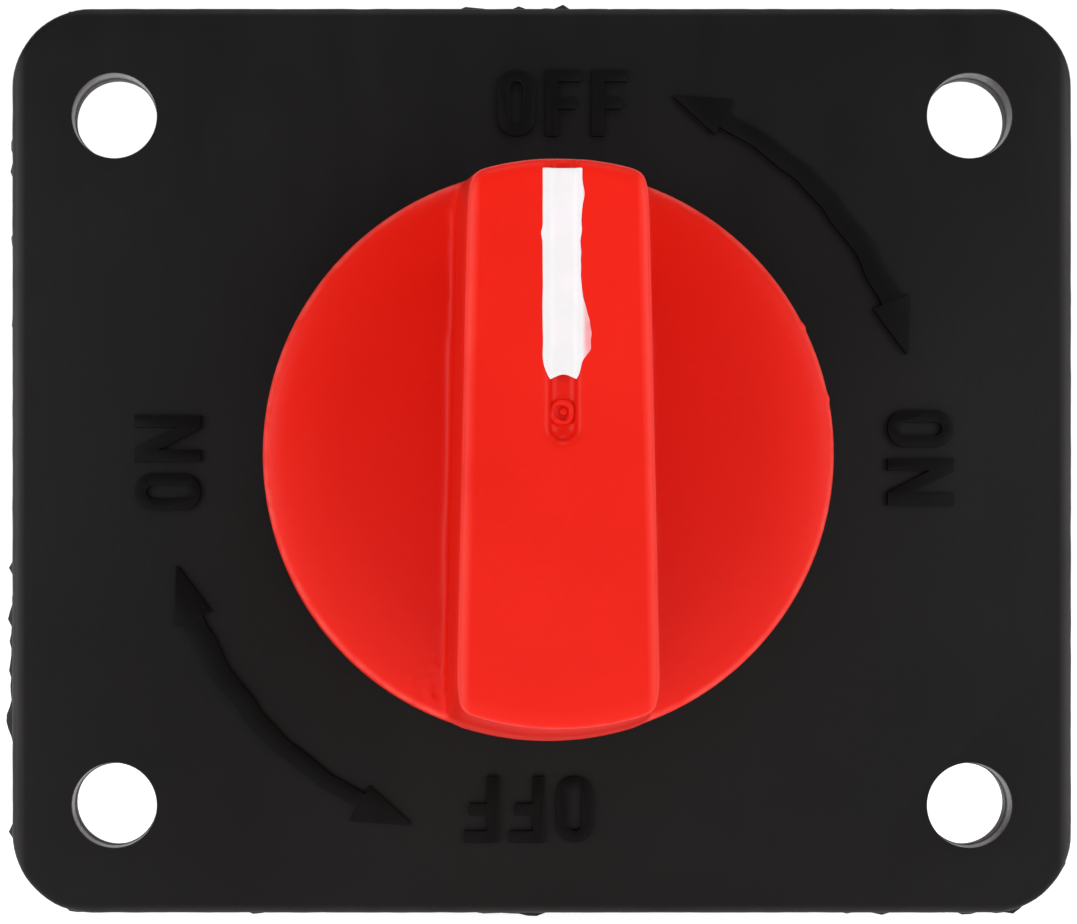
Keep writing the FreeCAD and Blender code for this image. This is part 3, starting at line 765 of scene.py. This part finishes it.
def makeGrip():
    look = knobLook
    edge = look["edgeRound"]
    rings = [(look["rim"] + 2.5, 0.0), (look["rim"] - 2.0, 0.0), (look["rim"] - 7.0, 0.0),
             (knobTop + edge + 2.0, 0.0), (knobTop + edge, 0.0)]
    rings += [(knobTop + edge * (1 - math.sin(t)), edge * (1 - math.cos(t)))
              for t in (math.pi / 12 * i for i in range(1, 7))]
    grip = lathed([(10.0 - inset, depth) for depth, inset in rings], "grip", (0, 0), 320)
    insetAt = {round(depth, 3): inset for depth, inset in rings}
    for vertex in grip.data.vertices:
        point = vertex.co / mm
        turn = math.atan2(point.x, point.z)
        radius = gripRadius(turn, point.y, insetAt[round(point.y, 3)])
        vertex.co.x = radius * math.sin(turn) * mm
        vertex.co.z = radius * math.cos(turn) * mm
    return grip


def hollowTools():
    look = knobLook
    deep = look["rim"] + look["wall"]
    inside = look["rimRadius"] - look["wall"]
    profile = [(look["hub"], knobBack + 1), (look["hub"] - 0.1, deep), (inside - 0.3, deep),
               (inside + 0.1, knobBack + 1)]
    hollow = lathed(profile, "hollow", (0, 0), 96, closed=True)
    webs = []
    for degrees in (45, 135):
        webs.append(turnedAbout(box((-0.8, -30, -20), (0.8, knobBack - 1.5, 20), "web"), degrees))
    hollow = combine(hollow, webs, "DIFFERENCE")
    pockets = [box((-3.2, knobTop + 3, s * 8.3 if s > 0 else -15.5),
                   (3.2, deep + 1, 15.5 if s > 0 else -8.3), "pocket") for s in (1, -1)]
    bore = lathed([(6.4, -20.5), (6.4, knobBack + 1)], "bore", (0, 0), 64)
    return [hollow, bore] + pockets


def screwWay():
    bpy.ops.mesh.primitive_cylinder_add(vertices=40, radius=2.5 * mm, depth=14 * mm,
                                        location=(0, -11 * mm, -17 * mm))
    return settle(bpy.context.object, "screw_way")


def grooveTools():
    look = knobLook
    half = look["grooveWide"] / 2
    start = look["grooveEnd"] + half
    deep = knobTop + look["grooveDeep"]
    aside = look["grooveX"]
    profile = [(half + 0.1, knobTop - 1), (half, deep - 0.1), (half - 0.15, deep)]
    end = lathed(profile, "end", (aside, start), 40)
    way = box((aside - half + 0.013, knobTop - 1.1, start + 0.017), (aside + half - 0.013, deep, 22), "way")
    return [end, way]


def dentAndScuff(piece):
    look = knobLook
    x, y, z, size, height = look["scuff"]
    spots = [(Vector((a, b, c)), s, h) for a, b, c, s, h in look["nibs"]]
    middle = Vector((x, y, z))
    for vertex in piece.data.vertices:
        point = vertex.co / mm
        push = 0.0
        near = (point - middle).length / size
        if near < 2.5:
            push += height * math.exp(-near * near) * noise.noise(point * 1.6)
        for spot, wide, high in spots:
            gap = (point - spot).length / wide
            if gap < 3:
                push += high * math.exp(-gap * gap)
        if push:
            vertex.co += vertex.normal * push * mm


def gateMark():
    # the ring that the mould's gate leaves in the groove
    floor = knobTop + knobLook["grooveDeep"]
    profile = [(0.44, floor + 0.2), (0.48, floor - 0.20), (0.60, floor - 0.42), (0.78, floor - 0.40),
               (0.92, floor - 0.18), (0.96, floor + 0.2)]
    ringMark = lathed(profile, "gate", (knobLook["grooveX"] - 0.12, 2.1), 36, closed=True)
    for vertex in ringMark.data.vertices:
        vertex.co += noise.noise_vector(vertex.co / mm * 1.7) * 0.15 * mm
    stub = lathed([(0.34, floor + 0.2), (0.30, floor - 0.12), (0.16, floor - 0.16)], "gate", (knobLook["grooveX"] + 0.05, 2.15), 16)
    return [ringMark, stub]


def makeKnob():
    knob = combine(makeSkirt(), [makeGrip()], "UNION")
    combine(knob, grooveTools() + hollowTools() + [screwWay()], "DIFFERENCE")
    modify(knob, "REMESH", mode="VOXEL", voxel_size=knobLook["voxel"] * mm)
    modify(knob, "SMOOTH", factor=0.5, iterations=2)
    dentAndScuff(knob)
    return joinAll([knob] + gateMark(), "grip_knob")


knob = makeKnob()
finished(knob, "grip_knob", "knob", finishes["red_nylon"], ["knob"], 180)
print("stage: knob made", len(knob.data.polygons))


# ---------- white enamel in the pointer groove

paintLook = {
    "left": -1.08, "right": 1.56, "top": 18.35, "bottom": 4.15, "dip": 0.16, "over": 0.05,
    "columns": 26, "rows": 120,
}


def paintEdges(z):
    # left and right edge of the enamel at a height, with the runs over the groove's side
    look = paintLook
    left = look["left"] - 0.10 * math.exp(-((z - 14.0) / 0.35) ** 2) + 0.05 * noise.noise(Vector((z * 0.5, 0, 0)))
    left += 0.42 * max(0.0, (6.0 - z) / 1.7) ** 2
    right = look["right"] + 0.16 * math.exp(-((z - 16.6) / 0.6) ** 2) - 0.10 * math.exp(-((z - 12.5) / 2.5) ** 2)
    run = max(0.0, min(1.0, (10.6 - z) / 3.2)) * max(0.0, min(1.0, (z - 5.3) / 1.1))
    right += 0.58 * run * run * (3 - 2 * run) + 0.06 * noise.noise(Vector((z * 1.3, 5, 0)))
    right -= 0.30 * max(0.0, (5.8 - z) / 1.5) ** 2
    return left, right


def makePaint():
    look = paintLook
    bpy.ops.mesh.primitive_grid_add(x_subdivisions=look["columns"], y_subdivisions=look["rows"], size=mm,
                                    location=(0, knobTop * mm, 0), rotation=(math.pi / 2, 0, 0))
    paint = settle(bpy.context.object, "paint")
    half = knobLook["grooveWide"] / 2
    middle = knobLook["grooveX"]
    for vertex in paint.data.vertices:
        across = vertex.co.x / mm + 0.5
        up = vertex.co.z / mm + 0.5
        z = look["bottom"] + (look["top"] - look["bottom"]) * up
        left, right = paintEdges(z)
        x = left + (right - left) * across
        # the lower end is a hollow arc
        z += 0.45 * math.exp(-((x - middle) / 0.8) ** 2) * (1 - up) ** 6
        inGroove = max(0.0, 1 - (abs(x - middle) / half) ** 4)
        depth = knobTop - look["over"] + look["dip"] * inGroove
        depth += 0.03 * noise.noise(Vector((x, z, 1.0)))
        # the film follows the rounded end of the grip
        round_ = knobLook["edgeRound"] * knobLook["endRound"]
        over = min(1.0, max(0.0, (z - knobLook["topRadius"] + round_) / round_))
        depth += knobLook["edgeRound"] * (1 - math.sqrt(1 - over * over))
        vertex.co = Vector((x, depth, z)) * mm
    toEdit(paint)
    bpy.ops.mesh.select_all(action="SELECT")
    bpy.ops.mesh.extrude_region_move(TRANSFORM_OT_translate={"value": (0, 0.30 * mm, 0)})
    toObject()
    tidyMesh(paint)
    return modify(paint, "BEVEL", width=0.04 * mm, segments=2, limit_method="ANGLE",
                  angle_limit=math.radians(50))


paint = makePaint()
finished(paint, "pointer_enamel", "knob", finishes["white_paint"], ["pointer_fill"], 60)
print("stage: enamel made")

# ---------- housing behind the plate

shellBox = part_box("body_shell")
shellLook = {
    "radius": (shellBox[1].x - shellBox[0].x) / 2 / mm,
    "inside": 26.5,
    "front": 1.0,
    "floor": 33.0,
    "rear": 38.0,
    "edge": 2.0,
    "padRadius": 10.6,
    "padHeight": 0.6,
    "barrierHalf": 1.5,
    "barrierLength": 25.0,
    "barrierTop": shellBox[1].y / mm,
    "screwHead": 3.9,
    "screwDeep": 34.0,
}
studX = abs(mountOf["line_terminal"]["pos_m"][0]) / mm


def makeShell():
    look = shellLook
    radius, rear = look["radius"], look["rear"]
    profile = [(radius - 0.25, look["front"]), (radius, look["front"] + 0.25), (radius, 5.6)]
    # a moulded bead near the front, then a wall with a little draft
    profile += [(radius - 0.35, 5.9), (radius - 0.35, 6.7), (radius - 0.05, 7.0), (radius - 0.15, 20.0)]
    profile += arc(radius - 0.25 - look["edge"], rear - look["edge"], look["edge"], 0, 90, 8)
    profile += [(25.9, rear), (25.6, rear - 0.25), (6.0, rear - 0.25)]
    shell = lathed(profile, "shell", (0, 0), 180)
    pads = [lathed([(look["padRadius"] + 0.1, rear - 1.5), (look["padRadius"], rear + 0.35),
                    (look["padRadius"] - 0.25, rear + look["padHeight"])], "pad", (x, 0), 96)
            for x in (-studX, studX)]
    wall = box((-look["barrierHalf"], rear - 1.5, -look["barrierLength"]),
               (look["barrierHalf"], look["barrierTop"], look["barrierLength"]), "barrier")
    for vertex in wall.data.vertices:
        if vertex.co.y > rear * mm:
            vertex.co.x *= 0.84
            vertex.co.z *= 0.985
    bevelled(wall, 0.45, 3)
    combine(shell, pads + [wall], "UNION")
    hollow = lathed([(look["inside"] + 0.1, 0.0), (look["inside"], 2.0), (look["inside"] - 0.2, look["floor"])],
                    "hollow", (0, 0), 120)
    cutters = [hollow]
    for x, z in screwPlaces:
        cutters.append(lathed([(2.2, 20.0), (2.2, look["screwDeep"]), (look["screwHead"], look["screwDeep"] + 0.01),
                               (look["screwHead"], rear - 0.55), (look["screwHead"] + 0.35, rear - 0.2),
                               (look["screwHead"] + 0.35, rear + 1)], "screw_hole", (x, z), 56))
    for x in (-studX, studX):
        cutters.append(lathed([(7.1, 30.0), (7.1, 35.0), (4.85, 35.01), (4.85, rear + 2)], "stud_hole", (x, 0), 56))
    # ejector marks on the rear face
    for degrees in (0, 180):
        for side in (-8, 8):
            place = Matrix.Rotation(math.radians(degrees + side), 3, "Y") @ Vector((0, 0, 23.6))
            cutters.append(lathed([(0.9, rear - 0.37), (0.95, rear + 1)], "ejector", (place.x, place.z), 32))
    combine(shell, cutters, "DIFFERENCE")
    columns = []
    for x, z in screwPlaces:
        columns.append(lathed([(4.6, 10.1), (4.6, look["floor"] + 0.5), (2.2, look["floor"] + 0.5), (2.2, 10.1)],
                              "column", (x, z), 48, closed=True))
    return bevelled(joinAll([shell] + columns, "shell"), 0.12, 2, 50)


shell = makeShell()
finished(shell, "rear_housing", "housing", finishes["black_housing"], ["body_shell"], 32)
print("stage: housing made", len(shell.data.polygons))


def makeSeal():
    inner, outer = shellLook["inside"] + 0.1, shellLook["radius"] - 0.1
    middle = (inner + outer) / 2
    profile = [(inner, 0.2), (inner + 0.2, 0.02), (outer - 0.25, 0.02), (outer - 0.05, 0.18), (outer + 0.05, 0.5),
               (outer - 0.05, 0.82), (outer - 0.25, 0.98), (middle, 0.99), (inner + 0.2, 0.98), (inner, 0.8)]
    return lathed(profile, "seal", (0, 0), 180, closed=True)


finished(makeSeal(), "edge_seal", "housing", finishes["black_rubber"], ["case_seal"], 60)


# ---------- screws of the housing

def hexBar(across, y0, y1, x=0.0, z=0.0):
    bpy.ops.mesh.primitive_cylinder_add(vertices=6, radius=across / math.sqrt(3) * mm, depth=(y1 - y0) * mm,
                                        location=(x * mm, (y0 + y1) / 2 * mm, z * mm),
                                        rotation=(math.pi / 2, 0, 0))
    return settle(bpy.context.object, "hex")


def makeCaseScrew():
    head = shellLook["screwDeep"]
    profile = [(1.5, 1.5), (2.0, 2.0), (2.0, head), (3.5, head + 0.02), (3.6, head + 0.15), (3.6, head + 2.35)]
    profile += arc(3.25, head + 2.45, 0.35, 0, 90, 5)
    profile += [(1.75, head + 2.8)]
    screw = lathed(profile, "screw", (0, 0), 72)
    mouth = lathed([(1.36, head + 1.2), (1.36, head + 2.62), (1.75, head + 2.9)], "mouth", (0, 0), 48)
    socket = combine(mouth, [hexBar(2.5, head + 1.0, head + 4)], "INTERSECT")
    rim = lathed([(1.30, head + 2.66), (1.66, head + 3.0)], "rim", (0, 0), 48)
    return combine(screw, [socket, rim], "DIFFERENCE")


screw = makeCaseScrew()
screws = []
for i, (x, z) in enumerate(screwPlaces):
    twin = turnedAbout(copied(screw), 17 + 41 * i)
    twin.data.transform(Matrix.Translation((x * mm, 0, z * mm)))
    screws.append(twin)
bpy.data.objects.remove(screw)
finished(joinAll(screws, "case_screws"), "housing_screws", "housing", finishes["zinc_steel"],
         ["case_screws"], 32)
print("stage: screws made")


# ---------- terminal studs, washers and nuts

terminalLook = {
    "pitch": 1.5, "threadDepth": 0.55, "major": 4.98, "root": 4.68, "rear": 54.5,
    "washer": (38.6, 40.6), "spring": (40.6, 42.8), "nut": (42.8, 50.8), "across": 16.0,
}


def makeStud(x):
    look = terminalLook
    start, step = 49.9, look["pitch"] / 12
    count = int((look["rear"] - start) / step)
    profile = [(6.9, 31.42), (7.0, 31.6), (7.0, 34.8), (6.9, 34.98), (look["root"], 34.99), (look["root"], start)]
    profile += [(look["major"], start + 0.001 + step * i) for i in range(count)]
    profile += [(look["major"] - 0.9, look["rear"]), (3.4, look["rear"] + 0.0), (0.4, look["rear"] - 0.15)]
    stud = lathed(profile, "stud", (0, 0), 96)
    for vertex in stud.data.vertices:
        point = vertex.co / mm
        radius = math.hypot(point.x, point.z)
        if point.y > start and radius > look["major"] - 0.1:
            turn = math.atan2(point.x, point.z) / math.tau
            wave = abs(((point.y - start) / look["pitch"] - turn) % 1.0 * 2 - 1)
            flank = min(1.0, max(0.0, (wave - 0.12) / 0.76))
            runOut = min(1.0, max(0.0, (look["rear"] - point.y) / 0.8))
            deep = look["threadDepth"] * flank * runOut + 0.8 * (1 - runOut)
            vertex.co.x *= 1 - deep / radius
            vertex.co.z *= 1 - deep / radius
    flats = box((-9, 31.0, -5.5), (9, 35.5, 5.5), "flats")
    flats = combine(flats, [box((-6, 35.2, -6), (6, 56, 6), "rest")], "UNION")
    combine(stud, [flats], "INTERSECT")
    stud.data.transform(Matrix.Translation((x * mm, 0, 0)))
    return stud


def makeWasher():
    low, high = terminalLook["washer"]
    profile = [(5.25, low + 0.02), (5.25, high - 0.2), (5.4, high - 0.01), (9.75, high - 0.01)]
    profile += arc(9.75, high - 0.26, 0.25, 90, 0, 4)[1:]
    profile += [(9.97, low + 0.1), (9.9, low + 0.01)]
    return lathed(profile, "washer", (0, 0), 120, closed=True)


def makeSpringWasher():
    low, high = terminalLook["spring"]
    profile = [(5.3, low + 0.25), (5.55, low + 0.08), (8.6, low + 0.08), (8.85, low + 0.3), (8.85, high - 0.3),
               (8.6, high - 0.08), (5.55, high - 0.08), (5.3, high - 0.25)]
    washer = lathed(profile, "spring_washer", (0, 0), 120, closed=True)
    slit = box((-0.6, low - 1, 3), (0.6, high + 1, 10), "slit")
    slit.data.transform(Matrix.Rotation(math.radians(24), 4, "Z"))
    slit.data.transform(Matrix.Translation((math.sin(math.radians(24)) * (low + high) / 2 * mm, 0, 0)))
    slit.data.transform(Matrix.Translation((0, (1 - math.cos(math.radians(24))) * (low + high) / 2 * mm, 0)))
    return combine(washer, [slit], "DIFFERENCE")


def makeNut():
    look = terminalLook
    low, high = look["nut"]
    flat = look["across"] / 2
    nut = hexBar(look["across"], low + 0.02, high - 0.02)
    chamfers = lathed([(flat - 0.35, low), (flat + 1.3, low + 0.95), (flat + 1.3, high - 0.95), (flat - 0.35, high)],
                      "chamfers", (0, 0), 120)
    combine(nut, [chamfers], "INTERSECT")
    bore = [(5.35, low - 0.3), (5.35, low), (4.75, low + 0.6), (4.75, high - 0.6), (5.35, high),
            (5.35, high + 0.3)]
    combine(nut, [lathed(bore, "bore", (0, 0), 72)], "DIFFERENCE")
    return bevelled(nut, 0.12, 2, 25)


def bothStuds(model, turns):
    # one on each stud, each turned its own way as it was tightened
    pair = []
    for x, degrees in zip((-studX, studX), turns):
        twin = turnedAbout(copied(model), degrees)
        twin.data.transform(Matrix.Translation((x * mm, 0, 0)))
        pair.append(twin)
    name = model.name
    bpy.data.objects.remove(model)
    return joinAll(pair, name)


finished(makeStud(-studX), "line_terminal_stud", "housing", finishes["tinned_copper"],
         ["line_stud"], 40)
finished(makeStud(studX), "load_terminal_stud", "housing", finishes["tinned_copper"],
         ["load_stud"], 40)
finished(bothStuds(makeWasher(), (0, 40)), "flat_washers", "housing", finishes["zinc_steel"],
         ["terminal_washers"], 32)
finished(bothStuds(makeSpringWasher(), (35, 155)), "spring_washers", "housing",
         finishes["zinc_steel"], ["terminal_spring_washers"], 32)
finished(bothStuds(makeNut(), (8, 34)), "hex_nuts", "housing", finishes["zinc_steel"],
         ["terminal_nuts"], 28)
print("stage: terminals made")


# ---------- studio: pale floor, soft light, camera

cameraLook = {
    "place": (-9.6, -239.0, -9.7), "lens": 104.2, "shift": (0.1150, 0.118),
    "floorGap": 0.3, "white": 1.0, "aside": 0.22, "ahead": 0.02, "behind": 0.95,
}


def makeStudio():
    look = cameraLook
    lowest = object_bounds()[0].z
    bpy.ops.mesh.primitive_plane_add(size=6, location=(0, 0, lowest - look["floorGap"] * mm))
    floor = bpy.context.object
    floor.name = "floor"
    f = Finish("pale_floor", Roughness=0.9, Specular_IOR_Level=0.1, Emission_Strength=0.93,
               Emission_Color=rgb(1, 1, 1))
    cloud = f.ramp(f.noise(0.01, 3.0), 0.3, 0.7)
    floor.data.materials.append(f.feed(Base_Color=f.mix(cloud, rgb(0.46, 0.46, 0.46), rgb(0.50, 0.50, 0.50))))

    world = bpy.data.worlds.new("soft_tent")
    bpy.context.scene.world = world
    world.use_nodes = True
    tree = world.node_tree
    nodes, links = tree.nodes, tree.links
    place = nodes.new("ShaderNodeTexCoord")
    split = nodes.new("ShaderNodeSeparateXYZ")
    links.new(place.outputs["Generated"], split.inputs[0])
    light = nodes.new("ShaderNodeMapRange")
    for i, value in enumerate((-0.95, -0.25, look["ahead"], look["aside"]), 1):
        light.inputs[i].default_value = value
    light.interpolation_type = "SMOOTHSTEP"
    links.new(split.outputs["Y"], light.inputs[0])
    rearLight = nodes.new("ShaderNodeMapRange")
    for i, value in enumerate((0.0, 0.45, 0.0, look["behind"] - look["aside"]), 1):
        rearLight.inputs[i].default_value = value
    links.new(split.outputs["Y"], rearLight.inputs[0])
    total = nodes.new("ShaderNodeMath")
    links.new(light.outputs[0], total.inputs[0])
    links.new(rearLight.outputs[0], total.inputs[1])
    seen = nodes.new("ShaderNodeLightPath")
    choose = nodes.new("ShaderNodeMix")
    choose.data_type = "FLOAT"
    links.new(seen.outputs["Is Camera Ray"], choose.inputs[0])
    links.new(total.outputs[0], choose.inputs[2])
    choose.inputs[3].default_value = look["white"] * 1.05
    links.new(choose.outputs[0], nodes["Background"].inputs["Strength"])
    nodes["Background"].inputs["Color"].default_value = rgb(1, 1, 1)


def softBox(name, place, size, power, aim=(0, -10, 0)):
    bpy.ops.object.light_add(type="AREA", location=[v * mm for v in place])
    lamp = bpy.context.object
    lamp.name = name
    lamp.data.size = size * mm
    lamp.data.energy = power
    towards = Vector(aim) - Vector(place)
    lamp.rotation_euler = towards.to_track_quat("-Z", "Y").to_euler()


def makeCamera():
    look = cameraLook
    bpy.ops.object.camera_add(location=[v * mm for v in look["place"]], rotation=(math.pi / 2, 0, 0))
    camera = bpy.context.object
    camera.data.lens = look["lens"]
    camera.data.sensor_width = 36
    camera.data.shift_x, camera.data.shift_y = look["shift"]
    camera.data.clip_start = 0.005
    camera.data.clip_end = 20
    bpy.context.scene.camera = camera


makeStudio()
softBox("left_box", (-350, -320, 0), 320, 1.15)
softBox("right_box", (350, -320, 60), 300, 0.84)
softBox("top_box", (0, -260, 420), 300, 0.58)
makeCamera()
bpy.context.scene.view_settings.view_transform = "Standard"
print("stage: studio made")
